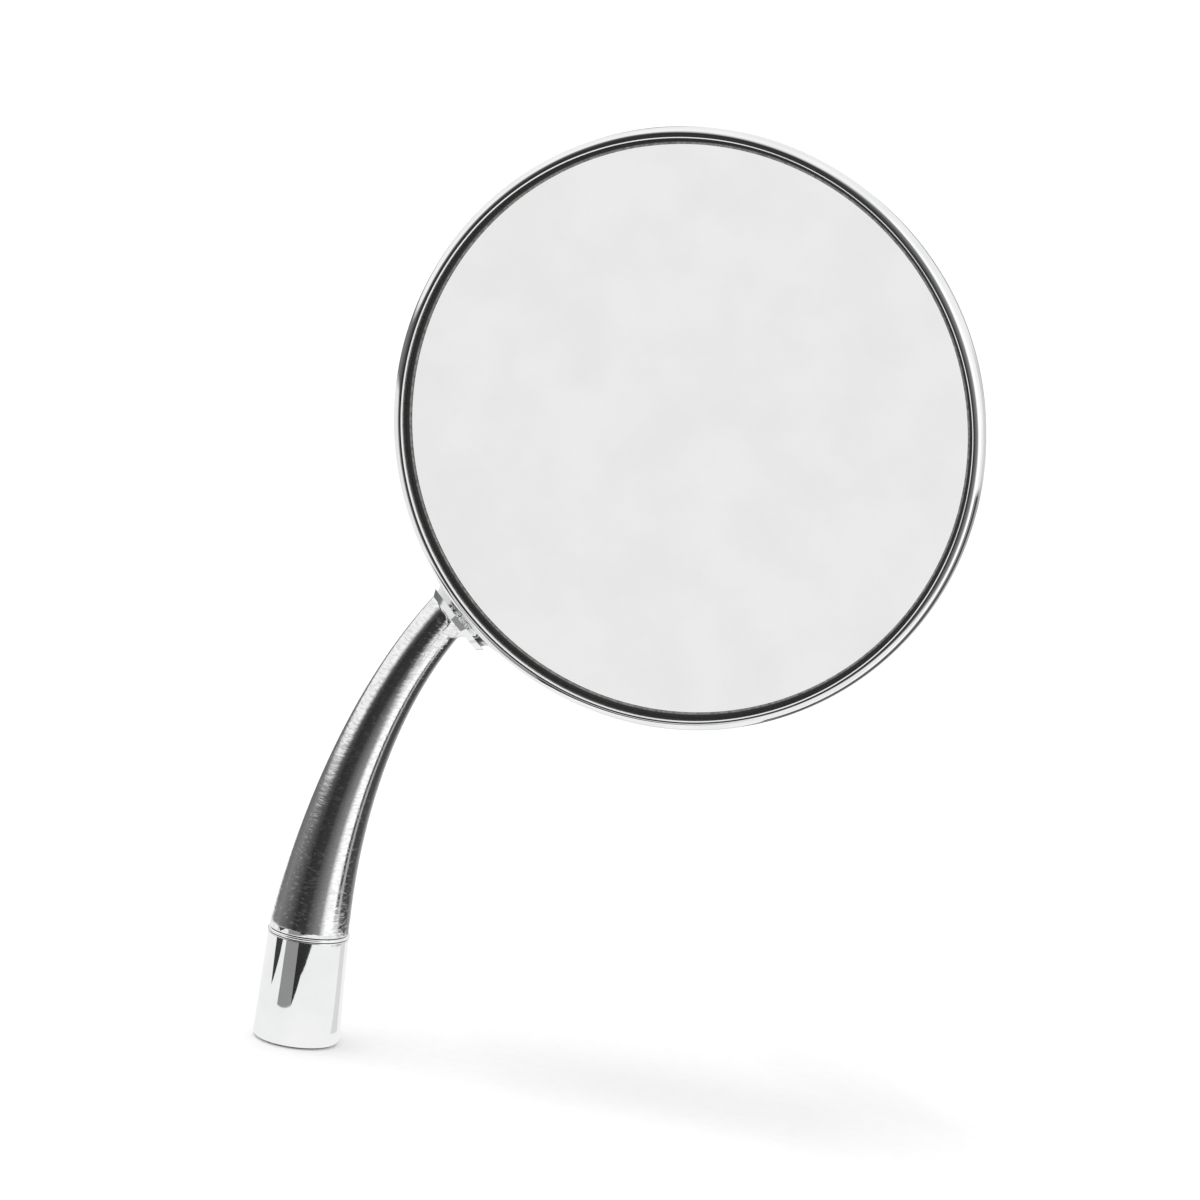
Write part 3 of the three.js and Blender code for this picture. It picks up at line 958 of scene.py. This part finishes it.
# The bands that the chrome sees round it: (degrees, shade), 0 in front and 90 to the right.
MIDDLE = [(-30, 0.03), (2, 0.04), (20, 0.14), (44, 0.28)]
RIGHT_BANK = [(54, 0.9), (60, 1.15), (82, 1.15)]
DARK_RIGHT = [(87, 0.08), (93, 0.05), (97, 0.45), (103, 0.45), (109, 0.03), (142, 0.1), (180, 0.5)]
UNDER_LEFT = [(-180, 0.5), (-150, 0.9), (-60, 0.9), (-44, 0.2)]
LEVEL_LEFT = [(-180, 0.4), (-140, 0.16), (-95, 0.22), (-60, 0.12)]
ABOVE_LEFT = [(-180, 0.9), (-64, 1.0), (-46, 0.12)]
BANKS = {
    "floor": [(-180, 0.6), (-150, 0.92), (40, 0.92), *RIGHT_BANK, *DARK_RIGHT],
    "under": [*UNDER_LEFT, *MIDDLE, *RIGHT_BANK, *DARK_RIGHT],
    "level": [*LEVEL_LEFT, *MIDDLE, *RIGHT_BANK, (100, 0.95), (180, 0.6)],
    "above": [*ABOVE_LEFT, *MIDDLE, *RIGHT_BANK, (100, 1.0), (180, 0.9)],
}
HORIZON_SLOPE = 0.03  # the level band drops to the right


def studio_bands(nodes, links):
    """The banks one over another, each a ramp round the vertical, with white overhead."""
    where = nodes.new("ShaderNodeTexCoord")
    split = nodes.new("ShaderNodeSeparateXYZ")
    links.new(where.outputs["Generated"], split.inputs["Vector"])
    right, rear, height = split.outputs
    forwards = maths(nodes, links, "MULTIPLY", rear, -1)
    turn = maths(nodes, links, "ARCTAN2", right, forwards)
    share = maths(nodes, links, "MULTIPLY_ADD", turn, 1 / math.tau, 0.5)

    def between(low, high, source=height):
        """0 below one height and 1 above another."""
        step = nodes.new("ShaderNodeMapRange")
        step.inputs["From Min"].default_value = low
        step.inputs["From Max"].default_value = high
        links.new(source, step.inputs["Value"])
        return step.outputs["Result"]

    def mixed(factor, below, above):
        """One shade below and another above, or white where none is given."""
        blend = nodes.new("ShaderNodeMix")
        blend.data_type = "RGBA"
        links.new(factor, blend.inputs["Factor"])
        links.new(below, blend.inputs["A"])
        if above is None:
            blend.inputs["B"].default_value = (1, 1, 1, 1)
        else:
            links.new(above, blend.inputs["B"])
        return blend.outputs["Result"]

    shades = {}
    for name, bands in BANKS.items():
        stops = [((degrees + 180) / 360, shade) for degrees, shade in bands]
        shades[name] = ramp(nodes, links, share, stops).outputs["Color"]
    sloping = maths(nodes, links, "MULTIPLY_ADD", right, HORIZON_SLOPE, height)
    under = mixed(between(-0.55, -0.42), shades["floor"], shades["under"])
    low = mixed(between(-0.2, -0.165, sloping), under, shades["level"])
    round_about = mixed(between(0.01, 0.07), low, shades["above"])
    return mixed(between(0.7, 0.95), round_about, None)


def world_light():
    """White all round for the paper, and the studio's bands for what reflects."""
    world = bpy.data.worlds.new("studio")
    bpy.context.scene.world = world
    world.use_nodes = True
    nodes, links = world.node_tree.nodes, world.node_tree.links
    nodes.clear()
    seen = nodes.new("ShaderNodeBackground")
    links.new(studio_bands(nodes, links), seen.inputs["Color"])
    plain = nodes.new("ShaderNodeBackground")
    plain.inputs["Color"].default_value = (1, 1, 1, 1)
    path = nodes.new("ShaderNodeLightPath")
    choose = nodes.new("ShaderNodeMixShader")
    out = nodes.new("ShaderNodeOutputWorld")
    links.new(path.outputs["Is Glossy Ray"], choose.inputs["Fac"])
    links.new(plain.outputs["Background"], choose.inputs[1])
    links.new(seen.outputs["Background"], choose.inputs[2])
    links.new(choose.outputs["Shader"], out.inputs["Surface"])


def add_key_light():
    """A broad soft light from overhead, which lays a faint shadow under the head and beside the base."""
    light = bpy.data.lights.new("key_light", "SUN")
    light.angle = math.radians(32)
    light.energy = 0.85
    lamp = bpy.data.objects.new("key_light", light)
    bpy.context.scene.collection.objects.link(lamp)
    towards_lamp = Vector((-0.12, -0.1, 1.0))
    lamp.rotation_euler = towards_lamp.to_track_quat("Z", "Y").to_euler()
    lamp.visible_glossy = False


add_floor()
add_lit_paper()
for mark_name, (mark_outline, mark_shade) in PAPER_MARKS.items():
    paper_mark(mark_name, mark_outline, mark_shade)
add_glass_card()
world_light()
add_key_light()
bpy.context.scene.view_settings.view_transform = "Standard"
